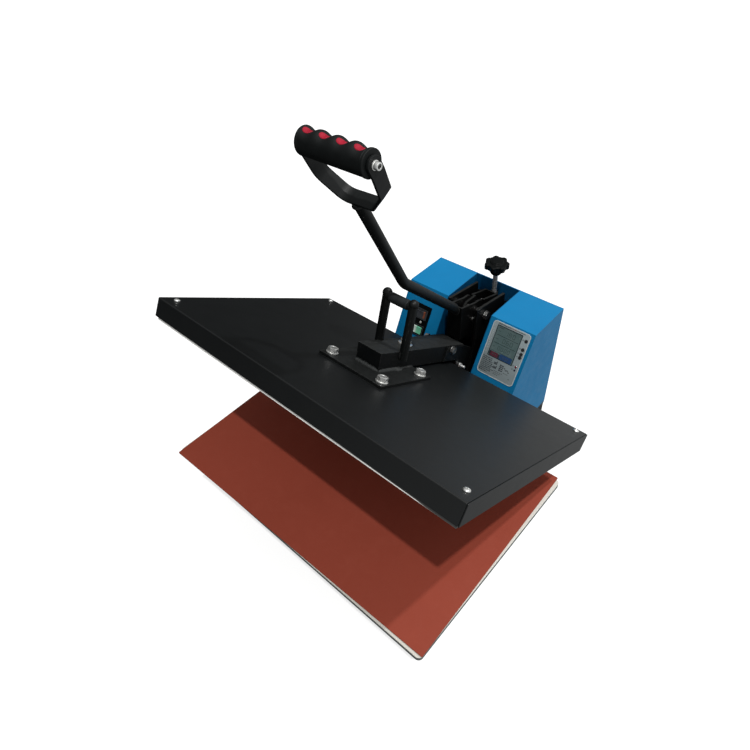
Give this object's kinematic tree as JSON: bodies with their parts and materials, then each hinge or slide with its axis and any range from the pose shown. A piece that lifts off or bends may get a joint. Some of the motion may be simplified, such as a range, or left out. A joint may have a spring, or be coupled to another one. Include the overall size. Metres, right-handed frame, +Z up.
{
  "type": "heat press",
  "caption": "Clamshell dry-mounting heat press: a hinged heated platen on a toggle lever closes on a padded lower plate; a star knob sets pressure, a blue housing holds the controls.",
  "frame": {"origin": "middle of the bounding box at the level of the rubber feet, platen open", "axes": "+X to the operator's right, +Y to the back, +Z up; the operator stands at -Y"},
  "size_m": [0.62, 0.6467, 0.7603],
  "materials": {
    "powder_black": "satin powder coat",
    "zinc_steel": "bright zinc plate",
    "rubber_black": "moulded",
    "grip_rubber": "moulded, matt",
    "grip_red": "moulded, satin",
    "bare_steel": "machined",
    "plate_aluminium": "milled",
    "silicone_red": "matt silicone sheet",
    "blue_paint": "gloss powder coat",
    "panel_silver": "printed film",
    "lcd_green": "display window",
    "plastic_black": "moulded",
    "lamp_red": "lens",
    "key_grey": "moulded",
    "rocker_green": "translucent",
    "rocker_grey": "moulded",
    "insulation": "fibre board",
    "bronze": "sintered bronze",
    "gland_nickel": "nickel plate"
  },
  "bodies": {
    "base": {"base_frame": "powder_black", "bed_stand": "powder_black", "frame_screws": "zinc_steel", "rear_deck": "powder_black", "rubber_feet": "rubber_black", "lower_plate": "plate_aluminium", "silicone_pad": "silicone_red", "cheek_plates": "powder_black", "hinge_shaft": "zinc_steel", "screw_thrust_block": "bare_steel", "housing_left": "blue_paint", "housing_right": "blue_paint", "rear_panel": "blue_paint", "rear_screws": "zinc_steel", "mains_gland": "plastic_black", "control_panel": "panel_silver", "lcd_window": "lcd_green", "controller_module": "plastic_black", "solid_state_relay": "plastic_black", "terminal_block": "plastic_black", "switch_plate": "powder_black", "breaker_body": "plastic_black", "switch_body": "plastic_black", "indicator_lamps": "lamp_red"},
    "platen": {"platen_cover": "powder_black", "heat_plate": "plate_aluminium", "insulation_board": "insulation", "heating_element": "bare_steel", "thermocouple": "gland_nickel", "platen_spacers": "zinc_steel", "cover_screws": "zinc_steel", "arm_mount_plate": "powder_black", "mount_bolts": "zinc_steel", "upper_arm": "powder_black", "arm_bolts": "zinc_steel", "arm_lugs": "powder_black", "hinge_bushes": "bronze", "lower_toggle_pin": "zinc_steel", "bail_handle": "powder_black", "bail_sleeve": "rubber_black", "platen_gland": "gland_nickel"},
    "bracket": {"pressure_bracket": "powder_black", "pivot_bolt": "zinc_steel"},
    "lever": {"lever_fork": "powder_black", "lever_bar": "powder_black", "grip_yoke": "powder_black", "grip_sleeve": "grip_rubber", "grip_inserts": "grip_red", "grip_tube": "bare_steel", "grip_bolt": "zinc_steel", "upper_toggle_pin": "zinc_steel"},
    "links": {"toggle_links": "powder_black"},
    "screw": {"pressure_screw": "zinc_steel", "pressure_knob": "plastic_black"},
    "power_rocker": {"power_rocker": "rocker_green"},
    "breaker_rocker": {"breaker_rocker": "rocker_grey"},
    "key_1": {"panel_key_1": "key_grey"},
    "key_2": {"panel_key_2": "key_grey"},
    "key_3": {"panel_key_3": "key_grey"},
    "key_4": {"panel_key_4": "key_grey"}
  },
  "joints": [
    {"name": "platen_hinge", "type": "hinge", "parent": "base", "child": "platen", "pos_m": [0, 0.21571, 0.17], "axis": [1, 0, 0], "range_deg": [0, 31.2]},
    {"name": "knob_turn", "type": "hinge", "parent": "base", "child": "screw", "pos_m": [0, 0.2992, 0.35], "axis": [0, 0, 1], "range_deg": [-309, 309]},
    {"name": "bracket_slide", "type": "slide", "parent": "base", "child": "bracket", "axis": [0, 0, 1], "range_m": [-0.0015, 0.0015]},
    {"name": "lever_hinge", "type": "hinge", "parent": "bracket", "child": "lever", "pos_m": [0, 0.21571, 0.315], "axis": [1, 0, 0], "range_deg": [0, 42]},
    {"name": "link_hinge", "type": "hinge", "parent": "lever", "child": "links", "pos_m": [0, 0.20156, 0.30395], "axis": [1, 0, 0], "range_deg": [-59.6, 0]},
    {"name": "power_switch", "type": "hinge", "parent": "base", "child": "power_rocker", "pos_m": [-0.095, 0.1695, 0.24178], "axis": [1, 0, 0], "range_deg": [-16, 0]},
    {"name": "breaker_switch", "type": "hinge", "parent": "base", "child": "breaker_rocker", "pos_m": [-0.0975, 0.1857, 0.27224], "axis": [1, 0, 0], "range_deg": [-16, 0]},
    {"name": "key_1_press", "type": "slide", "parent": "base", "child": "key_1", "axis": [0, 0.8828, -0.4697], "range_m": [0, 0.001], "stiffness_N_per_m": 600},
    {"name": "key_2_press", "type": "slide", "parent": "base", "child": "key_2", "axis": [0, 0.8828, -0.4697], "range_m": [0, 0.001], "stiffness_N_per_m": 600},
    {"name": "key_3_press", "type": "slide", "parent": "base", "child": "key_3", "axis": [0, 0.8828, -0.4697], "range_m": [0, 0.001], "stiffness_N_per_m": 600},
    {"name": "key_4_press", "type": "slide", "parent": "base", "child": "key_4", "axis": [0, 0.8828, -0.4697], "range_m": [0, 0.001], "stiffness_N_per_m": 600}
  ],
  "couplings": [
    {"joint": "lever_hinge", "follows": "platen_hinge", "ratio": 1.3461},
    {"joint": "link_hinge", "follows": "platen_hinge", "ratio": -1.9082},
    {"joint": "knob_turn", "follows": "bracket_slide", "rad_per_m": 3590.4}
  ]
}
